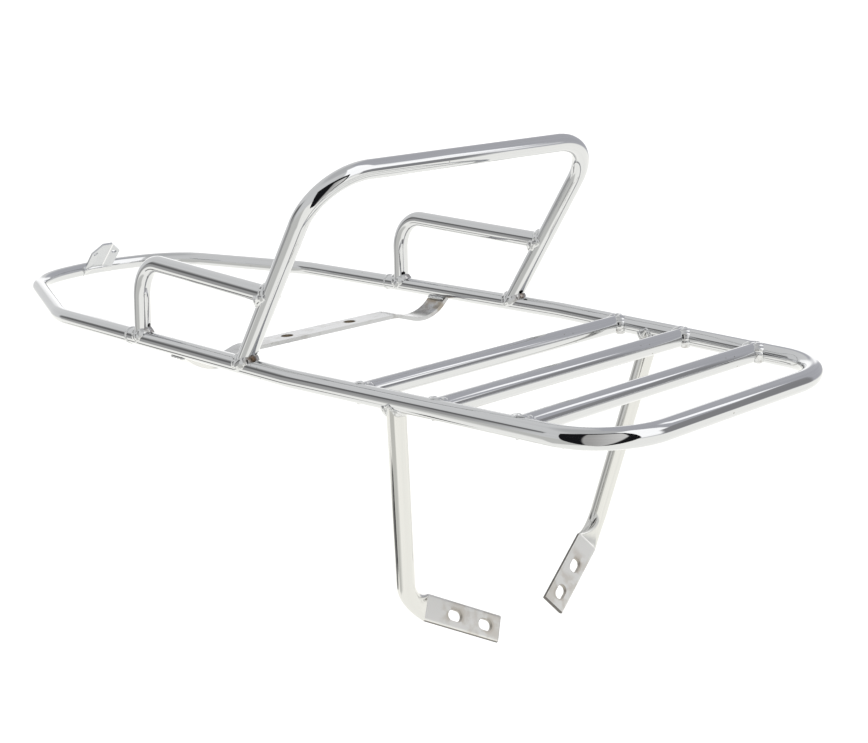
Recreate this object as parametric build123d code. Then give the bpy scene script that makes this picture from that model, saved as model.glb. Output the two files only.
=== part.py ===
"""Motorcycle luggage rack: one loop of bent steel tube with a slatted deck, a grab hoop and two side rails.

The frame is a rear loop and a nose loop butt-welded at the sides. A flat strap under the frame bolts to the
machine, two legs with flattened ends brace the deck, and a folded clip on the nose hooks under the seat.
Millimetres. +X points to the nose, +Y to the left side and +Z up. The origin is the middle of the strap's two
bolt holes, on the strap's underside.
"""
import os
from math import cos, radians, sin

from build123d import *

# Tube stock, the same for every tube of the rack
tube_diameter = 12.0
tube_wall = 1.5

# Frame loop, seen from above, by its centre line
frame_height = 12.2
rear_x = -389.0
rear_taper = 22.8
shoulder_x = -141.0
shoulder_half_width = 119.8
seam_x = 66.0
nose_bend_x = 188.0
nose_flare = 2.0
nose_corner_x = 347.0
nose_corner_half_width = 73.0
nose_tip_x = 370.0
nose_rise = 4.0
rear_bend_radius = 44.0
shoulder_bend_radius = 160.0
nose_bend_radius = 90.0
nose_corner_radius = 70.0
nose_tip_radius = 100.0

# Deck bars, counted forward from the rear tube
deck_bar_names = ("deck_bar_rear", "deck_bar_middle", "deck_bar_front")
deck_bar_pitch = 62.0

# Grab hoop, leaning back over the deck
hoop_foot_x = -85.5
hoop_top_x = -183.0
hoop_top_inset = 2.8
hoop_height = 127.0
hoop_bend_radius = 38.5

# Side rails, from a post near the seam back to the hoop's legs
rail_post_x = 49.5
rail_corner_x = 43.0
rail_corner_inset = 0.8
rail_height = 58.5
rail_end_height = 50.5
rail_bend_radius = 30.0

# Drain holes for the plating bath, in the rear of the posts and hoop legs, turned a little inward
drain_diameter = 3.5
drain_turn = 20.0
post_drain_distance = 10.6
hoop_drain_distance = 17.0

# Legs, with the lower ends pressed flat and slotted
leg_x = -235.0
leg_bend_x = -199.0
leg_bend_half_width = 86.0
leg_drop = 144.0
leg_bend_radius = 26.0
plate_tilt = 26.0
plate_droop = 32.5
plate_reach = 72.0
plate_width = 18.0
press_start = 17.0
press_length = 6.0
slot_count = 2
slot_length = 11.0
slot_width = 7.5
slot_pitch = 24.0
slot_end_margin = 11.5

# Mounting strap under the frame
strap_width = 20.0
strap_thickness = 3.0
strap_hole_pitch = 58.0
strap_hole_diameter = 8.5
strap_flat_inset = 51.8
strap_dip_inset = 17.8
strap_dip = 11.0
strap_shoulder_radius = 25.0
strap_dip_radius = 32.5
strap_end_drop = 5.0

# Folded clip on the nose
clip_offset = 5.6
clip_seat = 2.6
clip_angle = 39.0
clip_length = 44.0
clip_shoulder = 34.2
clip_half_width = 14.0
clip_top_half_width = 4.5
clip_fold_half_width = 5.0
clip_fold_angle = 14.0
clip_thickness = 2.0
clip_hole_diameter = 4.5
clip_hole_half_pitch = 9.3
clip_hole_reach = 32.0

# Welds
cope_gap = 0.05
bead_height = 2.0
bead_width = 1.7
bead_seat = 0.02
ring_width = 4.0
ring_height = 0.8

tube_radius = tube_diameter / 2
bore_radius = tube_radius - tube_wall
cope_radius = tube_radius + cope_gap
bead_inner_radius = tube_radius + bead_seat
bead_outer_radius = tube_radius + bead_height


def on_run(first, last, x):
    """The point at x on the straight line from first to last."""
    first, last = Vector(first), Vector(last)
    return first + (last - first) * ((x - first.X) / (last.X - first.X))


def other_side(point):
    """The same point on the right-hand side of the rack."""
    point = Vector(point)
    return Vector(point.X, -point.Y, point.Z)


def rod(first, last, radius):
    """A solid round bar between two points."""
    first, last = Vector(first), Vector(last)
    run = last - first
    return Solid.make_cylinder(radius, run.length, Plane(origin=first, z_dir=run))


def bent_rod(points, radii, radius):
    """A solid round bar along straight runs joined by arcs."""
    path = FilletPolyline(*points, radius=radii)
    return sweep(Plane(origin=path @ 0, z_dir=path % 0) * Circle(radius), path=path)


def bent_tube(points, radii):
    """A hollow tube along straight runs joined by arcs."""
    return bent_rod(points, radii, tube_radius) - bent_rod(points, radii, bore_radius)


def joint_bead(run_first, run_last, foot, branch_end):
    """The weld round a tube that stands on another: what lies within a bead of both, outside both."""
    bead = rod(run_first, run_last, bead_outer_radius) & rod(foot, branch_end, tube_radius + bead_width)
    bead -= rod(run_first, run_last, bead_inner_radius)
    return bead - rod(foot, branch_end, cope_radius)


def write(name, *solids):
    """One file for each named piece, or for a group of like welds."""
    shape = solids[0] if len(solids) == 1 else Compound(children=list(solids))
    export_step(shape, f"parts/{name}.step")


def mirrored(shape):
    """The right-hand twin of a left-hand piece."""
    return mirror(shape, about=Plane.XZ)


os.makedirs("parts", exist_ok=True)

# Stations of the left side's centre line
rear_corner = Vector(rear_x, shoulder_half_width - rear_taper, frame_height)
shoulder = Vector(shoulder_x, shoulder_half_width, frame_height)
nose_bend = Vector(nose_bend_x, shoulder_half_width + nose_flare, frame_height)
seam = on_run(shoulder, nose_bend, seam_x)
nose_corner = Vector(nose_corner_x, nose_corner_half_width, frame_height + nose_rise)
nose_tip = Vector(nose_tip_x, 0, frame_height + nose_rise)

# Rear loop and nose loop
rear_points = [seam, shoulder, rear_corner]
rear_points += [other_side(point) for point in reversed(rear_points)]
rear_radii = [shoulder_bend_radius, rear_bend_radius, rear_bend_radius, shoulder_bend_radius]
write("rear_frame_tube", bent_tube(rear_points, rear_radii))

nose_half = [seam, nose_bend, nose_corner]
nose_points = nose_half + [nose_tip] + [other_side(point) for point in reversed(nose_half)]
nose_radii = [nose_bend_radius, nose_corner_radius, nose_tip_radius, nose_corner_radius, nose_bend_radius]
write("nose_frame_tube", bent_tube(nose_points, nose_radii))

# Ring welds where the two loops meet
ring_axis = (nose_bend - shoulder).normalized()
ring_half = ring_axis * (ring_width / 2)
ring_across = Vector(0, 0, 1)
ring_base = seam + ring_across * (tube_radius + bead_seat)
ring_crown = seam + ring_across * (tube_radius + ring_height)
ring_arc = ThreePointArc(ring_base - ring_half, ring_crown, ring_base + ring_half)
ring_profile = make_face([ring_arc, Line(ring_base + ring_half, ring_base - ring_half)])
seam_weld = revolve(ring_profile, axis=Axis(seam, ring_axis))
write("seam_welds", seam_weld, mirrored(seam_weld))

# Deck bars, coped between the two sides
deck_bar_beads = []
for count, name in enumerate(deck_bar_names, start=1):
    left_end = on_run(rear_corner, shoulder, rear_x + count * deck_bar_pitch)
    right_end = other_side(left_end)
    bar = rod(left_end, right_end, tube_radius) - rod(left_end, right_end, bore_radius)
    bar -= rod(rear_corner, shoulder, cope_radius)
    bar -= rod(other_side(rear_corner), other_side(shoulder), cope_radius)
    write(name, bar)
    bead = joint_bead(rear_corner, shoulder, left_end, Vector(left_end.X, 0, left_end.Z))
    deck_bar_beads += [bead, mirrored(bead)]
write("deck_bar_welds", *deck_bar_beads)

# Grab hoop, coped onto the sides
hoop_foot = on_run(shoulder, nose_bend, hoop_foot_x)
hoop_top = Vector(hoop_top_x, shoulder_half_width - hoop_top_inset, frame_height + hoop_height)
hoop_points = [hoop_foot, hoop_top, other_side(hoop_top), other_side(hoop_foot)]
hoop = bent_tube(hoop_points, [hoop_bend_radius, hoop_bend_radius])


def with_drain(tube, foot, top, distance):
    """A drain hole through the wall of a leg that rises from foot to top, facing the rear and the middle."""
    along = (Vector(top) - Vector(foot)).normalized()
    centre = Vector(foot) + along * distance
    rearward = along.cross(Vector(0, 1, 0)).normalized()
    inward = Vector(0, -centre.Y, 0).normalized()
    facing = rearward * cos(radians(drain_turn)) + inward * sin(radians(drain_turn))
    return tube - rod(centre, centre + facing * tube_diameter, drain_diameter / 2)


for turn in (Vector, other_side):
    hoop -= rod(turn(shoulder), turn(nose_bend), cope_radius)
    hoop = with_drain(hoop, turn(hoop_foot), turn(hoop_top), hoop_drain_distance)
write("grab_hoop", hoop)
hoop_bead = joint_bead(shoulder, nose_bend, hoop_foot, hoop_foot + (hoop_top - hoop_foot) / 2)
write("hoop_foot_welds", hoop_bead, mirrored(hoop_bead))

# Side rails, coped onto the sides and the hoop's legs
rail_foot = on_run(shoulder, nose_bend, rail_post_x)
rail_corner = Vector(rail_corner_x, shoulder_half_width - rail_corner_inset, frame_height + rail_height)
rail_end = hoop_foot + (hoop_top - hoop_foot) * (rail_end_height / hoop_height)
rail = bent_tube([rail_foot, rail_corner, rail_end], [rail_bend_radius])
rail -= rod(shoulder, nose_bend, cope_radius)
rail -= rod(hoop_foot, hoop_top, cope_radius)
rail = with_drain(rail, rail_foot, rail_corner, post_drain_distance)
write("left_side_rail", rail)
write("right_side_rail", mirrored(rail))
post_bead = joint_bead(shoulder, nose_bend, rail_foot, (rail_foot + rail_corner) / 2)
rail_bead = joint_bead(hoop_foot, hoop_top, rail_end, (rail_end + rail_corner) / 2)
write("rail_foot_welds", post_bead, mirrored(post_bead))
write("rail_end_welds", rail_bead, mirrored(rail_bead))

# Legs: a tube down from the side, bent inward, then pressed flat and slotted
leg_top = on_run(rear_corner, shoulder, leg_x)
leg_bend = Vector(leg_bend_x, leg_bend_half_width, frame_height - leg_drop)
plate_normal = Vector(-cos(radians(plate_tilt)), 0, sin(radians(plate_tilt)))
plate_fall = Vector(-sin(radians(plate_tilt)), 0, -cos(radians(plate_tilt)))
plate_along = Vector(0, -cos(radians(plate_droop)), 0) + plate_fall * sin(radians(plate_droop))
plate_across = plate_normal.cross(plate_along)
round_end = leg_bend + plate_along * press_start
flat_start = round_end + plate_along * press_length
flat_end = leg_bend + plate_along * plate_reach

leg = bent_tube([leg_top, leg_bend, round_end], [leg_bend_radius])
leg -= rod(rear_corner, shoulder, cope_radius)
plate_thickness = 2 * tube_wall
flat_plane = Plane(origin=flat_start, x_dir=plate_across, z_dir=plate_along)
flat_section = flat_plane * SlotOverall(plate_width, plate_thickness)
round_section = Plane(origin=round_end, x_dir=plate_across, z_dir=plate_along) * Circle(tube_radius)
leg += loft([round_section, flat_section])
leg += extrude(flat_section, amount=(flat_end - flat_start).length)
for count in range(slot_count):
    slot_centre = flat_end - plate_along * (slot_end_margin + count * slot_pitch)
    slot_plane = Plane(origin=slot_centre, x_dir=plate_along, z_dir=plate_normal)
    leg -= extrude(slot_plane * SlotOverall(slot_length, slot_width), amount=tube_diameter, both=True)
write("left_leg", leg)
write("right_leg", mirrored(leg))
leg_bead = joint_bead(rear_corner, shoulder, leg_top, (leg_top + leg_bend) / 2)
write("leg_welds", leg_bead, mirrored(leg_bead))

# Mounting strap: flat in the middle, dipping and curling up to the tubes at both ends
strap_level = strap_thickness / 2
strap_end = on_run(shoulder, nose_bend, 0) - Vector(0, 0, strap_end_drop)
strap_half = [
    strap_end,
    Vector(0, shoulder_half_width - strap_dip_inset, strap_level - strap_dip),
    Vector(0, shoulder_half_width - strap_flat_inset, strap_level),
]
strap_points = strap_half + [other_side(point) for point in reversed(strap_half)]
strap_radii = [strap_dip_radius, strap_shoulder_radius, strap_shoulder_radius, strap_dip_radius]
strap_path = FilletPolyline(*strap_points, radius=strap_radii)


def strap_bar(width, thickness):
    """A flat bar of the given section along the strap's bends."""
    start = Plane(origin=strap_path @ 0, x_dir=(1, 0, 0), z_dir=strap_path % 0)
    return sweep(start * Rectangle(width, thickness), path=strap_path)


strap = strap_bar(strap_width, strap_thickness)
side_runs = [(shoulder, nose_bend), (other_side(shoulder), other_side(nose_bend))]
for first, last in side_runs:
    strap -= rod(first, last, cope_radius)
for side in (-1, 1):
    hole_centre = Vector(0, side * strap_hole_pitch / 2, 0)
    hole_plane = Plane(origin=hole_centre, z_dir=(0, 0, 1))
    strap -= extrude(hole_plane * Circle(strap_hole_diameter / 2), amount=tube_diameter, both=True)
write("mounting_strap", strap)

strap_bead = strap_bar(strap_width, strap_thickness + 2 * bead_width)
strap_bead &= rod(shoulder, nose_bend, bead_outer_radius)
strap_bead -= rod(shoulder, nose_bend, bead_inner_radius)
strap_bead -= strap_bar(strap_width + bead_width, strap_thickness + 2 * bead_seat)
strap_beads = list(strap_bead.solids())
write("strap_welds", *strap_beads, *[mirrored(bead) for bead in strap_beads])

# Nose clip: a sheet tab on the rear of the nose tube, leaning back, with its two sides folded down
clip_along = Vector(-cos(radians(clip_angle)), 0, sin(radians(clip_angle)))
clip_normal = Vector(-sin(radians(clip_angle)), 0, -cos(radians(clip_angle)))
wing = clip_half_width - clip_fold_half_width
wing_drop = wing * sin(radians(clip_fold_angle))
nose_crown = FilletPolyline(*nose_points, radius=nose_radii) @ 0.5
clip_foot = nose_crown + Vector(0, clip_offset, 0) + clip_normal * clip_seat
fold_plane = Plane(origin=clip_foot, x_dir=(0, 1, 0), z_dir=clip_along)
face_plane = Plane(origin=clip_foot, x_dir=(0, 1, 0), z_dir=clip_normal * -1)


def clip_sheet(thickness):
    """The folded sheet: a flat middle with a wing bent down on each side, carried along the clip."""
    fold = [
        (-clip_half_width, wing_drop),
        (-clip_fold_half_width, 0),
        (clip_fold_half_width, 0),
        (clip_half_width, wing_drop),
    ]
    outer = [(across, down - thickness / 2) for across, down in fold]
    inner = [(across, down + thickness / 2) for across, down in reversed(fold)]
    return extrude(fold_plane * make_face(Polyline(*outer, *inner, close=True)), amount=clip_length)


clip_outline = Polyline(
    (-clip_half_width, 0),
    (-clip_half_width, clip_shoulder),
    (-clip_top_half_width, clip_length),
    (clip_top_half_width, clip_length),
    (clip_half_width, clip_shoulder),
    (clip_half_width, 0),
    close=True,
)
clip_cutter = extrude(face_plane * make_face(clip_outline), amount=clip_length, both=True)
nose_cutter = bent_rod(nose_points, nose_radii, cope_radius)
clip = clip_sheet(clip_thickness) & clip_cutter
for side in (-1, 1):
    hole = face_plane * Pos(side * clip_hole_half_pitch, clip_hole_reach) * Circle(clip_hole_diameter / 2)
    clip -= extrude(hole, amount=clip_length, both=True)
clip -= nose_cutter
write("nose_clip", clip)

clip_bead = clip_sheet(clip_thickness + 2 * bead_width) & clip_cutter
clip_bead &= bent_rod(nose_points, nose_radii, bead_outer_radius)
clip_bead -= nose_cutter
clip_bead -= clip_sheet(clip_thickness + 2 * bead_seat)
write("clip_welds", *clip_bead.solids())
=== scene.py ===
"""Looks of a chromed motorcycle luggage rack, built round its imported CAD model. Metres, +X nose, +Y left, +Z up."""
from math import cos, pi, radians, sin

import bpy
import numpy as np
from mathutils import Matrix, Vector


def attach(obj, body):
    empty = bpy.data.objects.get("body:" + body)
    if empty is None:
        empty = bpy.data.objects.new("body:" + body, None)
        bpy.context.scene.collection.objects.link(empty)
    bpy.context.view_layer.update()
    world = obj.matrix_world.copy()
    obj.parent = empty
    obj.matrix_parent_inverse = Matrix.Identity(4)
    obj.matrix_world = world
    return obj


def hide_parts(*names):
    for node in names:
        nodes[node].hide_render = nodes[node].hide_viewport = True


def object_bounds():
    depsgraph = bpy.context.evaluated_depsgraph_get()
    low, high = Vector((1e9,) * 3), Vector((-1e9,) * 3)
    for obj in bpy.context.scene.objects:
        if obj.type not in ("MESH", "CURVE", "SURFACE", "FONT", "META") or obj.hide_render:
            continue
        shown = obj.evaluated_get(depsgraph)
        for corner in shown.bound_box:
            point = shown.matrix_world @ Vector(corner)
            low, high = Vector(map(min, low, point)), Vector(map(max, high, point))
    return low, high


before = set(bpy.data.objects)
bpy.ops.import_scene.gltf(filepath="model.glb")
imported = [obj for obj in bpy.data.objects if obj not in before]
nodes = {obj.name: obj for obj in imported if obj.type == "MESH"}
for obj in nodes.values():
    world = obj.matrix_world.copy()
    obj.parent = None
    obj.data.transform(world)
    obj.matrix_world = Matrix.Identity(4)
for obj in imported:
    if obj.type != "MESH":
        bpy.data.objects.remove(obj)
cad_low, cad_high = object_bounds()


# Camera: the photograph's own viewpoint, fitted to the rack's mirror symmetry.
# It looks forward and down from behind the rack's left side and is rolled a few degrees.
camera_place = Vector((-0.81522, 0.55477, 0.21560))
camera_azimuth, camera_dip, camera_roll = radians(50.8015), radians(14.3824), radians(3.5417)
photo_width_px, focal_px, sensor_mm, nearest_seen = 868, 1321.41, 36.0, 0.01

look = Vector((sin(camera_azimuth) * cos(camera_dip), -cos(camera_azimuth) * cos(camera_dip), -sin(camera_dip)))
level_right = look.cross(Vector((0, 0, 1))).normalized()
level_down = look.cross(level_right)
right = level_right * cos(camera_roll) + level_down * sin(camera_roll)
down = level_down * cos(camera_roll) - level_right * sin(camera_roll)
lens = bpy.data.cameras.new("camera")
lens.sensor_fit = "HORIZONTAL"
lens.sensor_width = sensor_mm
lens.lens = focal_px / photo_width_px * sensor_mm
lens.clip_start = nearest_seen
camera = bpy.data.objects.new("camera", lens)
camera.matrix_world = Matrix.Translation(camera_place) @ Matrix((right, -down, -look)).transposed().to_4x4()
bpy.context.scene.collection.objects.link(camera)
bpy.context.scene.camera = camera


# Studio: a white tent over a pale paper floor, lit evenly from above. Chrome shows only what it mirrors, so the room
# is made for the bends: the tent's dark opening toward the camera, a lamp strip, two dark boards, and panels of light
# on the walls. The opening, the strip and the boards are seen in reflections only.
def new_object(name, points, faces):
    """A mesh object at the origin from an array of points and lists of corner numbers."""
    mesh = bpy.data.meshes.new(name)
    mesh.from_pydata(np.reshape(points, (-1, 3)).tolist(), [], faces)
    item = bpy.data.objects.new(name, mesh)
    bpy.context.scene.collection.objects.link(item)
    return item


floor_radius, floor_corners, floor_gap = 12.0, 96, 0.15
paper_colour, paper_roughness, paper_gloss = (0.90, 0.90, 0.89), 0.9, 0.1
turn = np.linspace(0, 2 * pi, floor_corners, endpoint=False)
floor_rim = np.stack([floor_radius * np.cos(turn), floor_radius * np.sin(turn),
                      np.full_like(turn, cad_low.z - floor_gap)], -1)
floor = new_object("floor", floor_rim, [list(range(floor_corners))])
paper = bpy.data.materials.new("pale_paper")
paper.use_nodes = True
paper_shader = paper.node_tree.nodes["Principled BSDF"]
paper_shader.inputs["Base Color"].default_value = (*paper_colour, 1)
paper_shader.inputs["Roughness"].default_value = paper_roughness
paper_shader.inputs["Specular IOR Level"].default_value = paper_gloss
floor.data.materials.append(paper)
floor.visible_glossy = False

top_strength, top_spread = 1.6, radians(120)
top_light = bpy.data.lights.new("top_light", "SUN")
top_light.energy = top_strength
top_light.angle = top_spread
top_lamp = bpy.data.objects.new("top_light", top_light)
top_lamp.visible_glossy = False
bpy.context.scene.collection.objects.link(top_lamp)


def new_glow(name):
    """A fresh material without a shader, and its node tree."""
    paint = bpy.data.materials.new(name)
    paint.use_nodes = True
    paint.node_tree.nodes.clear()
    return paint, paint.node_tree


def join(source, target):
    """Links an output socket to an input socket of the tree being built."""
    tree.links.new(source, target)


def worked(operation, *values):
    """The output of one Math node on sockets or plain numbers."""
    node = tree.nodes.new("ShaderNodeMath")
    node.operation = operation
    for place, value in enumerate(values):
        if isinstance(value, (int, float)):
            node.inputs[place].default_value = value
        else:
            join(value, node.inputs[place])
    return node.outputs[0]


def eased(value, low, high):
    """Zero at low, one at high and a smooth step between; low may be the larger."""
    node = tree.nodes.new("ShaderNodeMapRange")
    node.interpolation_type = "SMOOTHSTEP"
    join(value, node.inputs["Value"])
    node.inputs["From Min"].default_value = low
    node.inputs["From Max"].default_value = high
    return node.outputs["Result"]


def laid_over(under, share, colour):
    """A colour laid over another by a share from zero to one."""
    under_socket, over_socket, result_socket = 6, 7, 2
    node = tree.nodes.new("ShaderNodeMix")
    node.data_type = "RGBA"
    join(share, node.inputs["Factor"])
    for socket, value in ((node.inputs[under_socket], under), (node.inputs[over_socket], colour)):
        if isinstance(value, tuple):
            socket.default_value = (*value, 1)
        else:
            join(value, socket)
    return node.outputs[result_socket]


def parted(place):
    """The X, Y and Z of a coordinate, as sockets."""
    node = tree.nodes.new("ShaderNodeSeparateXYZ")
    join(place, node.inputs[0])
    return node.outputs["X"], node.outputs["Y"], node.outputs["Z"]


def on_board():
    """How far across and up its board a point lies, by the board's own UV map."""
    node = tree.nodes.new("ShaderNodeUVMap")
    node.uv_map = "place"
    return parted(node.outputs[0])[:2]


# The opening's outline and the room seen through it are given in shares of its width and height.
# Each pair of room limits is where an edge starts to show and where it is full.
opening_middle, opening_bearing = Vector((-0.4295, 0.176, 0.055)), radians(140)
opening_half_width, opening_half_height = 0.175, 0.205
opening_outline = ((-0.2, 1.0), (0.1, 0.3), (0.5, 0.0), (0.86, 0.4), (0.79, 1.0))
opening_black, room_dim, room_lit = (0.012, 0.012, 0.014), (0.50, 0.49, 0.475), (0.85, 0.84, 0.82)
room_left, room_right, room_top, room_fade = (0.38, 0.41), (0.765, 0.745), (0.84, 0.80), (0.4, 0.75)
room_slope, room_foot = -2.2, (-1.16, -1.09)
opening_side = Vector((-sin(opening_bearing), cos(opening_bearing), 0)) * opening_half_width
opening_rise = Vector((0, 0, opening_half_height))
opening = new_object("opening", [opening_middle + opening_side * (2 * u - 1) + opening_rise * (2 * v - 1)
                                 for u, v in opening_outline], [list(range(len(opening_outline)))])
opening.data.uv_layers.new(name="place").data.foreach_set("uv", np.ravel(opening_outline))
gap, tree = new_glow("tent_opening")
across_board, up_board = on_board()
slant = worked("MULTIPLY_ADD", across_board, room_slope, up_board)
beside = worked("MULTIPLY", eased(across_board, *room_left), eased(across_board, *room_right))
within = worked("MULTIPLY", eased(slant, *room_foot), eased(up_board, *room_top))
dim_room = laid_over(room_dim, eased(across_board, *room_fade), room_lit)
glow = tree.nodes.new("ShaderNodeEmission")
join(laid_over(opening_black, worked("MULTIPLY", beside, within), dim_room), glow.inputs["Color"])
join(glow.outputs[0], tree.nodes.new("ShaderNodeOutputMaterial").inputs["Surface"])
opening.data.materials.append(gap)
opening.visible_camera = opening.visible_diffuse = opening.visible_shadow = False

# Each board is given by its middle, half its width, half its height and its glow, and fades out toward its rim.
boards = {
    "lamp_strip": ((-0.50, -0.315, 0.31), (-0.115, -0.167, 0), (-0.037, 0.0256, 0), (1.5, 1.5, 1.52)),
    "dark_board": ((-0.6007, -0.1993, 0.078), (0.12, -0.12, 0), (0, 0, 0.125), (0.32, 0.32, 0.33)),
    "leg_board": ((-0.158, 0.154, -0.121), (0.0091, -0.006, 0.0036), (0.0139, -0.01, -0.0523), (0.03, 0.03, 0.03)),
}
board_corners, board_fade = np.array(((-1.0, -1), (1, -1), (1, 1), (-1, 1))), (1.0, 0.65)
for name, (middle, half_width, half_height, colour) in boards.items():
    board = new_object(name, np.array(middle) + board_corners @ np.array((half_width, half_height)), [(0, 1, 2, 3)])
    board.data.uv_layers.new(name="place").data.foreach_set("uv", board_corners.ravel())
    paint, tree = new_glow(name)
    cover = worked("MULTIPLY", *[eased(worked("ABSOLUTE", way), *board_fade) for way in on_board()])
    glow = tree.nodes.new("ShaderNodeEmission")
    glow.inputs["Color"].default_value = (*colour, 1)
    fade = tree.nodes.new("ShaderNodeMixShader")
    join(cover, fade.inputs["Fac"])
    join(tree.nodes.new("ShaderNodeBsdfTransparent").outputs[0], fade.inputs[1])
    join(glow.outputs[0], fade.inputs[2])
    join(fade.outputs[0], tree.nodes.new("ShaderNodeOutputMaterial").inputs["Surface"])
    board.data.materials.append(paint)
    board.visible_camera = board.visible_diffuse = board.visible_shadow = False

room = bpy.data.worlds.new("studio")
room.use_nodes = True
bpy.context.scene.world = room
tree = room.node_tree
tree.nodes.clear()
toward_x, toward_y, toward_z = parted(tree.nodes.new("ShaderNodeTexCoord").outputs["Generated"])
bearing, climb = worked("ARCTAN2", toward_y, toward_x), worked("ARCSINE", toward_z)
paper_glow, front_glow, roof_glow = (1.24, 1.235, 1.185), (0.82, 0.825, 0.825), (0.64, 0.645, 0.65)
roof_start, roof_full, backdrop_strength = radians(48), radians(66), 1.05
sky = laid_over(front_glow, eased(climb, roof_start, roof_full), roof_glow)
# Each panel has its bearing, half width, height and half height in degrees, its slope, its fade in degrees, its glow.
panels = {
    "right_wall": (-100, 52, 34, 40, 0, 9, (0.55, 0.555, 0.59)),
    "rear_lamp": (-164, 25, 36, 34, 0, 6, (1.5, 1.5, 1.5)),
    "low_lamp": (-40, 22, 4, 7, 0, 7, (1.3, 1.3, 1.3)),
    "paper": (0, 180, -60, 47, 0, 8, paper_glow),
    "grey_stand": (39, 13, 3, 16, 0, 5, (0.46, 0.46, 0.455)),
    "stand_top": (39, 13, 13.5, 4, 0.5, 6, (0.18, 0.18, 0.18)),
    "shaded_paper": (76, 24, -28, 18, 0, 8, (0.74, 0.74, 0.71)),
    "paper_edge": (20, 14, -30.2, 1.6, -0.2, 2.5, (0.20, 0.20, 0.20)),
}
for middle, half_width, height, half_height, slope, soft, colour in panels.values():
    sideways = worked("WRAP", worked("SUBTRACT", bearing, radians(middle)), -pi, pi)
    above = worked("SUBTRACT", worked("SUBTRACT", climb, radians(height)), worked("MULTIPLY", sideways, slope))
    beside = eased(worked("ABSOLUTE", sideways), radians(half_width + soft), radians(half_width))
    within = eased(worked("ABSOLUTE", above), radians(half_height + soft), radians(half_height))
    sky = laid_over(sky, worked("MULTIPLY", beside, within), colour)
reflected = tree.nodes.new("ShaderNodeBackground")
join(sky, reflected.inputs["Color"])
backdrop = tree.nodes.new("ShaderNodeBackground")
backdrop.inputs["Color"].default_value = (1, 1, 1, 1)
backdrop.inputs["Strength"].default_value = backdrop_strength
choice = tree.nodes.new("ShaderNodeMixShader")
join(tree.nodes.new("ShaderNodeLightPath").outputs["Is Camera Ray"], choice.inputs["Fac"])
join(reflected.outputs["Background"], choice.inputs[1])
join(backdrop.outputs["Background"], choice.inputs[2])
join(choice.outputs["Shader"], tree.nodes.new("ShaderNodeOutputWorld").inputs["Surface"])
bpy.context.scene.view_settings.view_transform = "Standard"


# Frame loops: two lengths of bent steel tube, chrome plated, butt-welded at the sides into one long loop.
# The rear one carries the deck and the nose one reaches under the seat. Every other piece is welded to them.
tube_radius, bore_radius, tube_columns, sharp_angle = 0.006, 0.0045, 64, radians(40)
cope_gap, cope_reach = 0.00005, 0.030
rear_corner, shoulder = np.array((-0.389, 0.097, 0.0122)), np.array((-0.141, 0.1198, 0.0122))
nose_bend, nose_corner = np.array((0.188, 0.1218, 0.0122)), np.array((0.347, 0.073, 0.0162))
nose_tip, seam_x = np.array((0.370, 0, 0.0162)), 0.066
rear_bend_radius, shoulder_bend_radius = 0.044, 0.160
nose_bend_radius, nose_corner_radius, nose_tip_radius = 0.090, 0.070, 0.100
upward, leftward, other_side = np.array((0.0, 0, 1)), np.array((0.0, 1, 0)), np.array((1, -1, 1))


def unit(vectors):
    """Each vector of an array at length one."""
    return vectors / np.linalg.norm(vectors, axis=-1, keepdims=True)


def on_run(first, last, x):
    """The point at x on the straight line from first to last."""
    return first + (last - first) * (x - first[0]) / (last[0] - first[0])


def rounded_path(corners, radii, extra):
    """Points, headings and distances of a centre line whose inner corners give way to arcs: from where the arc
    leaves its first run, radius times (sin t along that run plus 1 - cos t toward the inside of the bend)."""
    turn_step, run_step, least_step = radians(2), 0.012, 0.0003
    runs = unit(np.diff(corners, axis=0))
    points, headings = [corners[:1]], [runs[:1]]
    for corner, radius, before, after in zip(corners[1:-1], radii, runs, runs[1:]):
        bend = np.arccos(before @ after)
        inside = unit(after - before * np.cos(bend))
        t = np.linspace(0, bend, int(bend / turn_step) + 2)[:, None]
        points.append(corner + radius * ((np.sin(t) - np.tan(bend / 2)) * before + (1 - np.cos(t)) * inside))
        headings.append(np.cos(t) * before + np.sin(t) * inside)
    points, headings = np.vstack(points + [corners[-1:]]), np.vstack(headings + [runs[-1:]])
    known = np.r_[0, np.cumsum(np.linalg.norm(np.diff(points, axis=0), axis=1))]
    far = np.sort(np.r_[known, np.arange(0, known[-1], run_step), extra, known[-1] - extra])
    far = far[np.r_[True, np.diff(far) > least_step]]
    far[-1] = known[-1]
    points, headings = [np.stack([np.interp(far, known, part) for part in rows.T], -1) for rows in (points, headings)]
    return points, unit(headings), far


def slide_to(points, heading, axis_point, axis_heading, radius):
    """How far each point slides along a heading until it leaves a cylinder: the larger root t of |w + t u| = radius,
    with w and u the point and the heading square to the cylinder's axis."""
    w = points - axis_point
    w = w - (w @ axis_heading)[:, None] * axis_heading
    u = heading - (heading @ axis_heading) * axis_heading
    half = w @ u
    return (np.sqrt(np.maximum(half ** 2 - u @ u * ((w ** 2).sum(-1) - radius ** 2), 0)) - half) / (u @ u)


def on_rim(inside):
    """The grid points on a hole's edge: some but not all of the four faces round them lie inside it."""
    padded = np.pad(inside, ((1, 1), (0, 0)))
    corners_cut = np.stack([padded[:-1], padded[1:], np.roll(padded[:-1], 1, 1), np.roll(padded[1:], 1, 1)])
    return corners_cut.any(0) & ~corners_cut.all(0)


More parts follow.
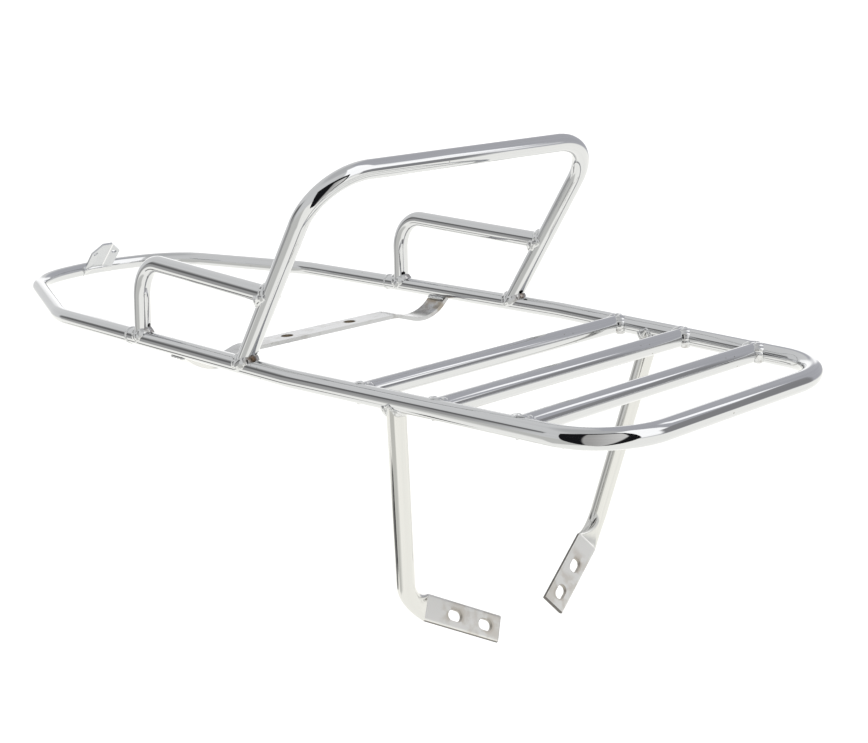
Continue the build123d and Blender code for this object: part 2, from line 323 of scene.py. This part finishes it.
def hole_walls(cut, number, behind):
    """Faces through the wall from a hole's rim to the points behind it, on each side of a cut face whose neighbour
    stays: sills along the rows and jambs along the columns."""
    lower, upper, left = np.pad(cut, ((1, 0), (0, 0))), np.pad(cut, ((0, 1), (0, 0))), np.roll(cut, 1, axis=1)
    sill = np.stack([number, np.roll(number, -1, axis=1), np.roll(behind, -1, axis=1), behind], -1)
    jamb = np.stack([number[1:], number[:-1], behind[:-1], behind[1:]], -1)
    return [sill[upper & ~lower], sill[lower & ~upper][:, ::-1], jamb[cut & ~left], jamb[left & ~cut][:, ::-1]]


def dress_tube(piece, unbent, chrome):
    """Smooth shading with sharp rims, the chrome, and where each point would lie if the tube were straight."""
    straight = piece.data.attributes.new("unbent", "FLOAT_VECTOR", "POINT")
    straight.data.foreach_set("vector", unbent.ravel())
    piece.data.shade_smooth()
    piece.data.set_sharp_from_angle(angle=sharp_angle)
    piece.data.materials.append(chrome)


def swept_tube(name, corners, radii, side, stands_on=None, ends_on=None, drains=()):
    """A hollow tube: a ring carried along a path, as an outer wall and a bore joined by a rim at each end.
    An end that stands on another tube slides each lengthwise line to that tube's cylinder, fading out up the tube.
    A drain (end, distance from it, facing) leaves out the faces within its circle and draws their rim to it."""
    drain_radius, drain_step = 0.00175, 0.0006
    extra = np.arange(0, cope_reach, drain_step) if drains else np.zeros(0)
    points, headings, far = rounded_path(np.array(corners), radii, extra)
    across = unit(side - (headings @ side)[:, None] * headings)
    upright = np.cross(headings, across)
    rows, columns = len(far), tube_columns
    angle = np.tile(np.linspace(0, 2 * pi, columns, endpoint=False), (rows, 1))

    def ring(radius, row):
        """The round section at one row."""
        return radius * (np.cos(angle[row])[:, None] * across[row] + np.sin(angle[row])[:, None] * upright[row])

    walls = []
    for radius in (tube_radius, bore_radius):
        along = np.tile(far[:, None], columns)
        for other, row, way in ((stands_on, 0, 1), (ends_on, -1, -1)):
            if other:
                slide = slide_to(points[row] + ring(radius, row), way * headings[row], *other, tube_radius + cope_gap)
                along += way * slide * np.clip(1 - abs(far - far[row]) / cope_reach, 0, 1)[:, None]
        walls.append(along)

    cut = np.zeros((rows - 1, columns), bool)
    for row, distance, facing in drains:
        middle = abs(far[row] - distance)
        bearing = np.arctan2(facing @ upright[row], facing @ across[row])
        aside = tube_radius * ((angle - bearing + pi) % (2 * pi) - pi)
        ahead = walls[0] - middle
        face_aside = aside[:-1] + tube_radius * pi / columns
        face_ahead = (ahead[:-1] + ahead[1:] + np.roll(ahead[:-1] + ahead[1:], -1, axis=1)) / 4
        inside = face_aside ** 2 + face_ahead ** 2 < drain_radius ** 2
        cut |= inside
        rim = on_rim(inside)
        stretch = drain_radius / np.hypot(aside, ahead)
        angle = np.where(rim, bearing + aside * stretch / tube_radius, angle)
        walls = [np.where(rim, middle + ahead * stretch, along) for along in walls]

    shells, unbent = [], []
    for radius, along in zip((tube_radius, bore_radius), walls):
        shells.append(points[:, None] + headings[:, None] * (along - far[:, None])[..., None] + radius * (
            np.cos(angle)[..., None] * across[:, None] + np.sin(angle)[..., None] * upright[:, None]))
        unbent.append(np.stack([radius * np.cos(angle), radius * np.sin(angle), along], -1))
    number = np.arange(rows * columns).reshape(rows, columns)
    beside, bore = np.roll(number, -1, axis=1), rows * columns
    skin = np.stack([number[:-1], beside[:-1], beside[1:], number[1:]], -1)[~cut]
    front = np.stack([beside[0], number[0], number[0] + bore, beside[0] + bore], -1)
    back = np.stack([number[-1], beside[-1], beside[-1] + bore, number[-1] + bore], -1)
    faces = [skin, skin[:, ::-1] + bore, front, back, *hole_walls(cut, number, number + bore)]
    used, faces = np.unique(np.vstack(faces), return_inverse=True)
    piece = new_object(name, np.concatenate(shells).reshape(-1, 3)[used], faces.reshape(-1, 4).tolist())
    dress_tube(piece, np.concatenate(unbent).reshape(-1, 3)[used], tube_chrome)
    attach(piece, "root")
    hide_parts(name)


def own(attribute):
    """The node that reads one of a piece's own attributes."""
    node = tree.nodes.new("ShaderNodeAttribute")
    node.attribute_name = attribute
    return node


def stretched(place, *scale):
    """A coordinate stretched along its axes."""
    node = tree.nodes.new("ShaderNodeMapping")
    node.inputs["Scale"].default_value = scale
    join(place, node.inputs["Vector"])
    return node.outputs[0]


def noise(place, scale, detail=2.0):
    """Smooth noise from zero to one on a coordinate."""
    node = tree.nodes.new("ShaderNodeTexNoise")
    node.inputs["Scale"].default_value = scale
    node.inputs["Detail"].default_value = detail
    join(place, node.inputs["Vector"])
    return node.outputs[0]


def pits(place, spacing, size, patch):
    """Small round spots, one to a cell of about the given spacing, kept only in patches of the given size."""
    patch_edge = (0.55, 0.62)
    node = tree.nodes.new("ShaderNodeTexVoronoi")
    node.inputs["Scale"].default_value = 1 / spacing
    join(place, node.inputs["Vector"])
    near = size / spacing
    spots = eased(node.outputs["Distance"], near, near / 2)
    return worked("MULTIPLY", spots, eased(noise(place, 1 / patch), *patch_edge))


def raised(height):
    """Relief from a height in metres, into the shader's normal."""
    node = tree.nodes.new("ShaderNodeBump")
    node.inputs["Distance"].default_value = 1.0
    join(height, node.inputs["Height"])
    join(node.outputs[0], shader.inputs["Normal"])


def new_material(name):
    """A fresh metal, its node tree and its shader."""
    metal = bpy.data.materials.new(name)
    metal.use_nodes = True
    metal_shader = metal.node_tree.nodes["Principled BSDF"]
    metal_shader.inputs["Metallic"].default_value = 1.0
    return metal, metal.node_tree, metal_shader


chrome_dark, chrome_light, pit_brown = (0.59, 0.595, 0.605), (0.68, 0.685, 0.695), (0.20, 0.18, 0.15)
draw_line_scale, draw_line_stretch, draw_line_depth = 1000, 0.004, 8e-6
wave_scale, wave_stretch, wave_depth = 140, 0.25, 3e-5
pit_spacing, pit_size, pit_patch = 0.007, 0.0006, 0.05
chrome_roughness, draw_line_roughness, pit_roughness = 0.025, 0.05, 0.4
tube_chrome, tree, shader = new_material("tube_chrome")
unrolled = own("unbent").outputs["Vector"]
draw_lines = noise(stretched(unrolled, 1, 1, draw_line_stretch), draw_line_scale)
soft_waves = noise(stretched(unrolled, 1, 1, wave_stretch), wave_scale)
plate_pits = pits(unrolled, pit_spacing, pit_size, pit_patch)
drawn_chrome = laid_over(chrome_dark, draw_lines, chrome_light)
join(laid_over(drawn_chrome, plate_pits, pit_brown), shader.inputs["Base Color"])
drawn_roughness = worked("MULTIPLY_ADD", draw_lines, draw_line_roughness, chrome_roughness)
join(worked("MULTIPLY_ADD", plate_pits, pit_roughness, drawn_roughness), shader.inputs["Roughness"])
raised(worked("ADD", worked("MULTIPLY", draw_lines, draw_line_depth), worked("MULTIPLY", soft_waves, wave_depth)))

seam = on_run(shoulder, nose_bend, seam_x)
rear_half = np.array([seam, shoulder, rear_corner])
swept_tube("rear_frame_tube", np.vstack([rear_half, rear_half[::-1] * other_side]),
           [shoulder_bend_radius, rear_bend_radius, rear_bend_radius, shoulder_bend_radius], upward)
nose_half = np.array([seam, nose_bend, nose_corner])
swept_tube("nose_frame_tube", np.vstack([nose_half, nose_tip, nose_half[::-1] * other_side]),
           [nose_bend_radius, nose_corner_radius, nose_tip_radius, nose_corner_radius, nose_bend_radius], upward)


# Deck bars: three straight lengths of the same tube across the rear loop.
# Each end is coped to the side tube's round and welded all the way round.
deck_bar_pitch = 0.062
rear_run = (rear_corner, unit(shoulder - rear_corner))
rear_run_right = (rear_corner * other_side, rear_run[1] * other_side)
deck_bar_ends = []
for count, name in enumerate(("deck_bar_rear", "deck_bar_middle", "deck_bar_front"), start=1):
    left_end = on_run(rear_corner, shoulder, rear_corner[0] + count * deck_bar_pitch)
    deck_bar_ends.append(left_end)
    swept_tube(name, [left_end, left_end * other_side], [], upward, rear_run, rear_run_right)


# Grab hoop: one bent tube that leans back over the deck, coped onto the side tubes and welded at both feet.
# A small hole in the rear of each foot let the plating bath drain.
hoop_foot_x, hoop_bend_radius, hoop_drain_distance = -0.0855, 0.0385, 0.017
hoop_top = np.array((-0.183, 0.117, 0.1392))
drain_turn = radians(20)


def drain_facing(foot, top):
    """The way a drain hole looks: to the rear of its leg, turned a little to the middle of the rack."""
    rearward = unit(np.cross(top - foot, leftward))
    return rearward * cos(drain_turn) - leftward * np.sign(foot[1]) * sin(drain_turn)


side_run = (shoulder, unit(nose_bend - shoulder))
side_run_right = (shoulder * other_side, side_run[1] * other_side)
hoop_foot = on_run(shoulder, nose_bend, hoop_foot_x)
hoop_rearward = unit(np.cross(hoop_top - hoop_foot, leftward))
hoop_drains = [(0, hoop_drain_distance, drain_facing(hoop_foot, hoop_top)),
               (-1, hoop_drain_distance, drain_facing(hoop_foot * other_side, hoop_top * other_side))]
swept_tube("grab_hoop", [hoop_foot, hoop_top, hoop_top * other_side, hoop_foot * other_side],
           [hoop_bend_radius, hoop_bend_radius], hoop_rearward, side_run, side_run_right, hoop_drains)


# Side rails: a short post on each side tube, bent back to meet the hoop's leg, welded at both ends.
# Each post has a drain hole in the rear of its foot.
rail_post_x, rail_end_share, rail_bend_radius, post_drain_distance = 0.0495, 50.5 / 127, 0.030, 0.0106
rail_corner = np.array((0.043, 0.119, 0.0707))
rail_foot = on_run(shoulder, nose_bend, rail_post_x)
rail_end = hoop_foot + (hoop_top - hoop_foot) * rail_end_share
hoop_leg = (hoop_foot, unit(hoop_top - hoop_foot))
for name, flip in (("left_side_rail", np.ones(3)), ("right_side_rail", other_side)):
    swept_tube(name, [rail_foot * flip, rail_corner * flip, rail_end * flip], [rail_bend_radius], leftward,
               [part * flip for part in side_run], [part * flip for part in hoop_leg],
               [(0, post_drain_distance, drain_facing(rail_foot * flip, rail_corner * flip))])


# Joint welds: a rounded, uneven bead of weld metal round the foot of every branch, plated over with the tubes.
# The pools of the weld show as ripples; the rear and under sides are painted brown, part heat stain, part painted
# shade.
joint_height, joint_spread, joint_pools, deck_flush, foot_flush = 0.0026, 0.0046, 11, 0.72, 0.35
ring_rows, bead_columns = 220, 20
leg_x, leg_bend = -0.235, np.array((-0.199, 0.086, -0.1318))


def pooled(t, pools, seed):
    """The uneven size of a bead along its run: humps |sin| of the pools, their pace and height wavering slowly by a
    sum of sines whose strength falls with their order."""
    waves, weakest, fall, pace, hump, hump_middle, swell = 9, 0.2, 0.7, 1.2, 0.22, 0.6, 0.06
    chance = np.random.default_rng(seed)
    order = np.arange(1, waves + 1)[:, None]
    strength = chance.uniform(weakest, 1, (waves, 1)) / order ** fall
    waver = (strength * np.sin(order * t + chance.uniform(0, 2 * pi, (waves, 1)))).sum(0)
    return 1 + hump * (np.abs(np.sin(pools * t / 2 + pace * waver)) - hump_middle) + swell * waver


def bead_grid(centres, outward, height, spread, size, closed):
    """Points and faces of a bead: an ellipse of the given height and spread, times the size, carried along a line."""
    if closed:
        tangent = unit(np.roll(centres, -1, 0) - np.roll(centres, 1, 0))
    else:
        tangent = unit(np.gradient(centres, axis=0))
    flank = unit(np.cross(tangent, outward))
    outward = np.cross(flank, tangent)
    t = np.linspace(0, 2 * pi, bead_columns, endpoint=False)[:, None]
    points = centres[:, None] + size[:, None, None] * (
        height * np.cos(t) * outward[:, None] + spread * np.sin(t) * flank[:, None])
    number = np.arange(len(centres) * bead_columns).reshape(-1, bead_columns)
    beside = np.roll(number, -1, axis=1)
    here, there = (slice(None), np.roll(np.arange(len(centres)), -1)) if closed else (slice(None, -1), slice(1, None))
    faces = np.stack([number[here], beside[here], beside[there], number[there]], -1).reshape(-1, 4).tolist()
    if not closed:
        faces += [number[0, ::-1].tolist(), number[-1].tolist()]
    return points, faces, np.broadcast_to(outward[:, None], points.shape)


def weld(name, grids, stained_and_shaded_way):
    """One piece of like beads. Its stain_and_shade attribute tells how far a point faces the way of the painted
    brown, heat stain and painted shade together, times the length of that way."""
    points = np.concatenate([grid[0].reshape(-1, 3) for grid in grids])
    starts = np.cumsum([0] + [grid[0].size // 3 for grid in grids])
    faces = [[corner + start for corner in face] for grid, start in zip(grids, starts) for face in grid[1]]
    piece = new_object(name, points, faces)
    stain_and_shade = np.concatenate([grid[2].reshape(-1, 3) for grid in grids]) @ np.array(stained_and_shaded_way, float)
    piece.data.attributes.new("stain_and_shade", "FLOAT", "POINT").data.foreach_set("value", stain_and_shade)
    piece.data.shade_smooth()
    piece.data.materials.append(weld_metal)
    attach(piece, "root")
    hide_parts(name)


def joint_bead(foot, heading, run, seed, flush_share):
    """The bead round a branch: centred on the line where the two tubes' surfaces cross, facing between their normals.
    It shrinks by a share where the two surfaces run flush into one another."""
    t = np.linspace(0, 2 * pi, ring_rows, endpoint=False)
    lateral = unit(np.cross(heading, run[1]))
    normal = np.cos(t)[:, None] * lateral + np.sin(t)[:, None] * np.cross(heading, lateral)
    ring = foot + tube_radius * normal
    centres = ring + slide_to(ring, heading, *run, tube_radius)[:, None] * heading
    away = centres - run[0]
    away = unit(away - (away @ run[1])[:, None] * run[1])
    flush = np.clip((normal * away).sum(-1), 0, 1) ** 2
    size = pooled(t, joint_pools, seed) * (1 - flush_share * flush)
    return bead_grid(centres, unit(normal + away), joint_height, joint_spread, size, True)


def both_sides(foot, heading, run, seed, flush_share):
    """The same joint on the left and on the right, welded by hand, so not alike in their ripples."""
    flipped = [part * other_side for part in run]
    return [joint_bead(foot, heading, run, seed, flush_share),
            joint_bead(foot * other_side, heading * other_side, flipped, seed + 1, flush_share)]


weld_dark, weld_light, heat_stain_and_shade_brown = (0.58, 0.585, 0.59), (0.72, 0.725, 0.73), (0.13, 0.085, 0.055)
lump_scale, lump_depth, stain_and_shade_scale, stain_and_shade_spread, stain_and_shade_edge = 420, 1.2e-4, 300, 1.1, (0.85, 1.7)
weld_roughness, lump_roughness, stain_and_shade_roughness = 0.06, 0.10, 0.30
weld_metal, tree, shader = new_material("weld_metal")
place = tree.nodes.new("ShaderNodeTexCoord").outputs["Object"]
lumps = noise(place, lump_scale)
# Heat stain and painted shade: brown on the sides of each bead that face the given way, the rear and the underside.
stain_and_shade_level = worked("MULTIPLY_ADD", noise(place, stain_and_shade_scale), stain_and_shade_spread, own("stain_and_shade").outputs["Fac"])
stain_and_shade_share = eased(stain_and_shade_level, *stain_and_shade_edge)
join(laid_over(laid_over(weld_dark, lumps, weld_light), stain_and_shade_share, heat_stain_and_shade_brown), shader.inputs["Base Color"])
lumpy_roughness = worked("MULTIPLY_ADD", lumps, lump_roughness, weld_roughness)
join(worked("MULTIPLY_ADD", stain_and_shade_share, stain_and_shade_roughness, lumpy_roughness), shader.inputs["Roughness"])
raised(worked("MULTIPLY", lumps, lump_depth))

deck_beads = [bead for count, foot in enumerate(deck_bar_ends)
              for bead in both_sides(foot, -leftward, rear_run, seed=10 + 2 * count, flush_share=deck_flush)]
weld("deck_bar_welds", deck_beads, stained_and_shaded_way=(-0.3, 0, -0.45))
hoop_beads = both_sides(hoop_foot, hoop_leg[1], side_run, seed=20, flush_share=foot_flush)
weld("hoop_foot_welds", hoop_beads, stained_and_shaded_way=(-1.1, 0, -0.1))
post_beads = both_sides(rail_foot, unit(rail_corner - rail_foot), side_run, seed=30, flush_share=foot_flush)
weld("rail_foot_welds", post_beads, stained_and_shaded_way=(-0.8, -0.2, 0))
rail_beads = both_sides(rail_end, unit(rail_corner - rail_end), hoop_leg, seed=40, flush_share=foot_flush)
weld("rail_end_welds", rail_beads, stained_and_shaded_way=(0, 0, -0.5))
leg_top = on_run(rear_corner, shoulder, leg_x)
leg_beads = both_sides(leg_top, unit(leg_bend - leg_top), rear_run, seed=50, flush_share=deck_flush)
weld("leg_welds", leg_beads, stained_and_shaded_way=(0, 0, -0.4))


# Seam welds: a low ring of weld where the two loops meet end to end, dressed down and plated.
# It stands under a millimetre proud of the tube.
ring_height, ring_spread, ring_pools = 0.0008, 0.0014, 17
ring_centre_radius = tube_radius - ring_height / 4


def ring_bead(middle, heading, seed):
    """A bead along a circle: the tube's own round at one place on its run."""
    t = np.linspace(0, 2 * pi, ring_rows, endpoint=False)
    normal = np.cos(t)[:, None] * unit(np.cross(heading, upward)) + np.sin(t)[:, None] * upward
    return bead_grid(middle + ring_centre_radius * normal, normal, ring_height, ring_spread,
                     pooled(t, ring_pools, seed), True)


seam_beads = [ring_bead(seam, -side_run[1], seed=60),
              ring_bead(seam * other_side, -side_run_right[1], seed=61)]
weld("seam_welds", seam_beads, stained_and_shaded_way=(0, 0, 0))


# Legs: one tube each, welded under the side tube, bent inward and pressed flat at the foot.
# The flat ends are slotted for bolts, and their plating is duller, smudged and marked by the press; their edges carry
# a painted dark reflection and their slot rims painted shade.
leg_bend_radius, press_start, flat_start, plate_reach = 0.026, -0.004, 0.0145, 0.072
plate_half_width, plate_half_depth, plate_tilt, plate_droop = 0.009, 0.0015, radians(26), radians(32.5)
slot_places, slot_half_length, slot_half_width = (0.0365, 0.0605), 0.0055, 0.00375
slot_straight = slot_half_length - slot_half_width
plate_normal = np.array((-cos(plate_tilt), 0, sin(plate_tilt)))
plate_fall = np.array((-sin(plate_tilt), 0, -cos(plate_tilt)))
plate_along = -leftward * cos(plate_droop) + plate_fall * sin(plate_droop)
plate_across = np.cross(plate_normal, plate_along)


def pressed_leg(name, flip):
    """A tube carried down its path while its section closes from a circle to a flat slot: a cos t across, and through
    it the half height there of a slot of half width a and half depth b, with a and b moving by the square of the way
    into the press. Faces within a bolt slot are left out, their rim is drawn to it and walled through the plate."""
    fine_reach, fine_step, least = 0.075, 0.0006, 1e-9
    corners = np.array([leg_top, leg_bend, leg_bend + plate_along * plate_reach]) * flip
    points, headings, far = rounded_path(corners, [leg_bend_radius], np.arange(0, fine_reach, fine_step))
    across = unit(plate_across * flip - (headings @ (plate_across * flip))[:, None] * headings)
    upright = np.cross(headings, across)
    rows, columns = len(far), tube_columns
    closed = np.clip((far - far[-1] + plate_reach - press_start) / (flat_start - press_start), 0, 1)[:, None] ** 2
    half_width = tube_radius + (plate_half_width - tube_radius) * closed
    half_depth = tube_radius + (plate_half_depth - tube_radius) * closed
    t = np.linspace(0, 2 * pi, columns, endpoint=False)
    aside = half_width * np.cos(t)
    into_edge = np.clip(abs(aside) - half_width + half_depth, 0, half_depth) / half_depth
    through = half_depth * np.sqrt(1 - into_edge ** 2) * np.sign(np.sin(t))
    top_ring = points[0] + aside[0][:, None] * across[0] + through[0][:, None] * upright[0]
    slide = slide_to(top_ring, headings[0], *[part * flip for part in rear_run], tube_radius + cope_gap)
    along = far[:, None] + slide * np.clip(1 - far / cope_reach, 0, 1)[:, None]

    cut = np.zeros((rows - 1, columns), bool)
    for slot_place in slot_places:
        ahead = along - far[-1] + plate_reach - slot_place
        face_ahead = (ahead[:-1] + ahead[1:]) / 2
        face_aside = (aside[:-1] + np.roll(aside[:-1], -1, axis=1)) / 2
        inside = np.clip(abs(face_ahead) - slot_straight, 0, None) ** 2 + face_aside ** 2 < slot_half_width ** 2
        cut |= inside
        rim = on_rim(inside)
        nearest = np.clip(ahead, -slot_straight, slot_straight)
        stretch = slot_half_width / np.maximum(np.hypot(ahead - nearest, aside), least)
        along = np.where(rim, along + (ahead - nearest) * (stretch - 1), along)
        aside = np.where(rim, aside * stretch, aside)

    skin_points = points[:, None] + (headings[:, None] * (along - far[:, None])[..., None]
                                     + across[:, None] * aside[..., None] + upright[:, None] * through[..., None])
    unbent = np.stack([aside, through, along - far[-1] + plate_reach], -1)
    number = np.arange(rows * columns).reshape(rows, columns)
    beside, behind = np.roll(number, -1, axis=1), number[:, -np.arange(columns) % columns]
    front_cut = cut & (np.arange(columns) < columns // 2)
    skin = np.stack([number[:-1], beside[:-1], beside[1:], number[1:]], -1)[~cut]
    used, faces = np.unique(np.vstack([skin, *hole_walls(front_cut, number, behind)]), return_inverse=True)
    ends = [np.searchsorted(used, ring).tolist() for ring in (number[0, ::-1], number[-1])]
    piece = new_object(name, skin_points.reshape(-1, 3)[used], faces.reshape(-1, 4).tolist() + ends)
    dress_tube(piece, unbent.reshape(-1, 3)[used], leg_chrome)
    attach(piece, "root")
    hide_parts(name)


def from_slot(slot_place):
    """How far a point of the plate lies from a slot's middle line, a short straight stretch along the plate."""
    beyond = worked("SUBTRACT", worked("ABSOLUTE", worked("SUBTRACT", down_plate, slot_place)), slot_straight)
    beyond = worked("MAXIMUM", beyond, 0)
    return worked("SQRT", worked("MULTIPLY_ADD", beyond, beyond, worked("MULTIPLY", across_plate, across_plate)))


leg_dark, leg_light, speck_brown = (0.62, 0.62, 0.605), (0.70, 0.695, 0.675), (0.22, 0.19, 0.15)
plate_bright, plate_worn, plate_grimy = (0.76, 0.755, 0.73), (0.65, 0.625, 0.58), (0.58, 0.545, 0.49)
slot_rim_painted_shade, plate_edge_painted_dark = (0.40, 0.375, 0.34), (0.16, 0.15, 0.14)
leg_wave_scale, leg_wave_stretch, smudge_scale, smudge_detail, smudge_depth = 160, 0.4, 110, 6, 6e-5
speck_spacing, speck_size, speck_patch, press_line = 0.009, 0.0005, 0.03, 0.0006
leg_roughness, wave_roughness, plate_roughness = 0.04, 0.08, 0.36
# Each pair of limits is where a mark starts to show and where it is full.
side_edge, end_edge, slot_shade_reach = (0.0007, 0.0003), (0.0004, 0.0001), (0.0004, 0.0001)
grime_reach, grime_smudge, worn_reach, worn_smudge = (0.0024, 0.0006), (0.44, 0.56), (0.009, 0.014), (0.40, 0.62)
leg_chrome, tree, shader = new_material("leg_chrome")
unrolled = own("unbent").outputs["Vector"]
across_leg, _, down_plate = parted(unrolled)
across_plate = worked("ABSOLUTE", across_leg)
place = tree.nodes.new("ShaderNodeTexCoord").outputs["Object"]
pressed = eased(down_plate, flat_start - press_line, flat_start)
draw_lines = noise(stretched(unrolled, 1, 1, draw_line_stretch), draw_line_scale)
soft_waves = noise(stretched(unrolled, 1, 1, leg_wave_stretch), leg_wave_scale)
smudges, specks = noise(place, smudge_scale, smudge_detail), pits(place, speck_spacing, speck_size, speck_patch)
worn = worked("MULTIPLY", eased(smudges, *worn_smudge),
              eased(down_plate, *[flat_start + reach for reach in worn_reach]))
# The plates' side edges and end are painted dark: a painted reflection, standing for the dark that a turned edge
# mirrors.
plate_edge_dark_share = worked("MAXIMUM", eased(across_plate, *[plate_half_width - inset for inset in side_edge]),
                     eased(down_plate, *[plate_reach - inset for inset in end_edge]))
near_slot = worked("MINIMUM", *map(from_slot, slot_places))
# A thin brown rim round each slot is painted shade, standing for the slot's wall in shadow.
slot_rim_shade_share = eased(near_slot, *[slot_half_width + reach for reach in slot_shade_reach])
grime = worked("MULTIPLY", eased(near_slot, *[slot_half_width + reach for reach in grime_reach]),
               eased(smudges, *grime_smudge))
tube_colour = laid_over(leg_dark, draw_lines, leg_light)
worn_plate = laid_over(laid_over(plate_bright, worn, plate_worn), grime, plate_grimy)
plate_colour = laid_over(laid_over(worn_plate, slot_rim_shade_share, slot_rim_painted_shade), plate_edge_dark_share, plate_edge_painted_dark)
join(laid_over(laid_over(tube_colour, pressed, plate_colour), specks, speck_brown), shader.inputs["Base Color"])
wavy_roughness = worked("MULTIPLY_ADD", soft_waves, wave_roughness, leg_roughness)
join(worked("MULTIPLY_ADD", pressed, plate_roughness, wavy_roughness), shader.inputs["Roughness"])
plate_smudges = worked("MULTIPLY", smudges, pressed)
raised(worked("ADD", worked("MULTIPLY", soft_waves, wave_depth), worked("MULTIPLY", plate_smudges, smudge_depth)))
pressed_leg("left_leg", np.ones(3))
pressed_leg("right_leg", other_side)


# Mounting strap: a flat steel bar across the underside, bent down and up again at both ends and welded there.
# Two bolts hold the rack to the machine through it. Its plating is duller than the tubes', and its holes are rusty.
strap_hole_y, strap_hole_radius = 0.029, 0.00425
strap_dark, strap_light, blotch_grey = (0.50, 0.505, 0.515), (0.60, 0.60, 0.61), (0.46, 0.455, 0.45)
near_end_painted_light, end_brown = (0.76, 0.755, 0.74), (0.34, 0.30, 0.25)
strap_speck, rust_brown = (0.16, 0.14, 0.12), (0.20, 0.165, 0.125)
grain_scale, grain_stretch, grain_depth, blotch_scale, blotch_detail = 900, 0.05, 1e-5, 130, 5
strap_speck_spacing, strap_speck_size, strap_speck_patch = 0.008, 0.0006, 0.04
near_end_light_reach, brown_end, brown_blotch, grey_blotch = (0.096, 0.102), (-0.098, -0.116), (0.35, 0.6), (0.5, 0.7)
rust_reach, strap_roughness, grain_roughness, rust_roughness = (0.0008, 0.0001), 0.14, 0.12, 0.4


def measured(place, way):
    """How far a coordinate lies along one way from the origin."""
    node = tree.nodes.new("ShaderNodeVectorMath")
    node.operation = "DOT_PRODUCT"
    join(place, node.inputs[0])
    node.inputs[1].default_value = way
    return node.outputs["Value"]


strap_chrome, tree, shader = new_material("strap_chrome")
place = tree.nodes.new("ShaderNodeTexCoord").outputs["Object"]
to_left = measured(place, leftward)
hole_aside = worked("SUBTRACT", worked("ABSOLUTE", to_left), strap_hole_y)
hole_ahead = measured(place, (1, 0, 0))
from_hole = worked("SQRT", worked("MULTIPLY_ADD", hole_aside, hole_aside, worked("MULTIPLY", hole_ahead, hole_ahead)))
grain = noise(stretched(place, 1, grain_stretch, 1), grain_scale)
blotches = noise(place, blotch_scale, blotch_detail)
specks = pits(place, strap_speck_spacing, strap_speck_size, strap_speck_patch)
rust = eased(from_hole, *[strap_hole_radius + reach for reach in rust_reach])
browned = worked("MULTIPLY", eased(to_left, *brown_end), eased(blotches, *brown_blotch))
dull = laid_over(laid_over(strap_dark, grain, strap_light), eased(blotches, *grey_blotch), blotch_grey)
# The near end of the strap is painted bright: painted light, so its curl reads as lit white.
near_end_painted_lit = laid_over(dull, eased(to_left, *near_end_light_reach), near_end_painted_light)
marked = laid_over(laid_over(near_end_painted_lit, browned, end_brown), specks, strap_speck)
join(laid_over(marked, rust, rust_brown), shader.inputs["Base Color"])
grainy_roughness = worked("MULTIPLY_ADD", grain, grain_roughness, strap_roughness)
join(worked("MULTIPLY_ADD", rust, rust_roughness, grainy_roughness), shader.inputs["Roughness"])
raised(worked("MULTIPLY", grain, grain_depth))
nodes["mounting_strap"].data.materials.clear()
nodes["mounting_strap"].data.materials.append(strap_chrome)


# Strap welds: two short beads at each end of the strap, one on its upper side and one at its tip.
# They run along the side tube, across the strap's width, and are plated over like the other welds.
strap_bead_spread, strap_bead_rows, strap_bead_pools = 0.0015, 60, 12
strap_bead_starts = (((-0.0095, 0.1164, 0.0066), 0.0015), ((-0.0095, 0.1213, 0.00515), 0.0009))


def straight_bead(start, end, height, seed):
    """A bead along a straight line, tapered to its ends by the root of 1 less the eighth power of the way from its
    middle, as a fillet in a corner."""
    bluntness, least = 8, 0.02
    t = np.linspace(0, 1, strap_bead_rows)
    taper = np.sqrt(np.clip(1 - (2 * t - 1) ** bluntness, least, 1))
    centres = np.array(start) + t[:, None] * (np.array(end) - start)
    size = taper * pooled(t * 2, strap_bead_pools, seed)
    return bead_grid(centres, np.tile(upward, (strap_bead_rows, 1)), height, strap_bead_spread, size, False)


strap_beads = []
for flip in (np.ones(3), other_side):
    for start, height in strap_bead_starts:
        start = np.array(start) * flip
        strap_beads.append(straight_bead(start, start * (-1, 1, 1), height, seed=70 + len(strap_beads)))
weld("strap_welds", strap_beads, stained_and_shaded_way=(0, 0, 0))


# Nose clip: a tab of folded sheet steel welded to the rear of the nose tube, which hooks under the seat.
# It is satin plated, with a painted highlight along the fold where a bent sheet would catch the light, and its two
# weld beads are plated over.
clip_middle_y, clip_fold_half_width, fold_highlight_reach = 0.0056, 0.005, (0.0011, 0.0003)
clip_dark, clip_light, fold_painted_highlight = (0.52, 0.53, 0.55), (0.60, 0.61, 0.63), (0.76, 0.76, 0.77)
cloud_scale, cloud_detail, cloud_depth, clip_roughness, cloud_roughness = 120, 4, 4e-5, 0.15, 0.15
clip_chrome, tree, shader = new_material("clip_chrome")
place = tree.nodes.new("ShaderNodeTexCoord").outputs["Object"]
from_fold = worked("ABSOLUTE", worked("SUBTRACT", measured(place, leftward), clip_middle_y - clip_fold_half_width))
clouds = noise(place, cloud_scale, cloud_detail)
# A highlight is painted along the fold line.
fold_highlight_share = eased(from_fold, *fold_highlight_reach)
join(laid_over(laid_over(clip_dark, clouds, clip_light), fold_highlight_share, fold_painted_highlight), shader.inputs["Base Color"])
join(worked("MULTIPLY_ADD", clouds, cloud_roughness, clip_roughness), shader.inputs["Roughness"])
raised(worked("MULTIPLY", clouds, cloud_depth))
nodes["nose_clip"].data.materials.clear()
nodes["nose_clip"].data.materials.append(clip_chrome)
nodes["clip_welds"].data.materials.clear()
nodes["clip_welds"].data.materials.append(weld_metal)
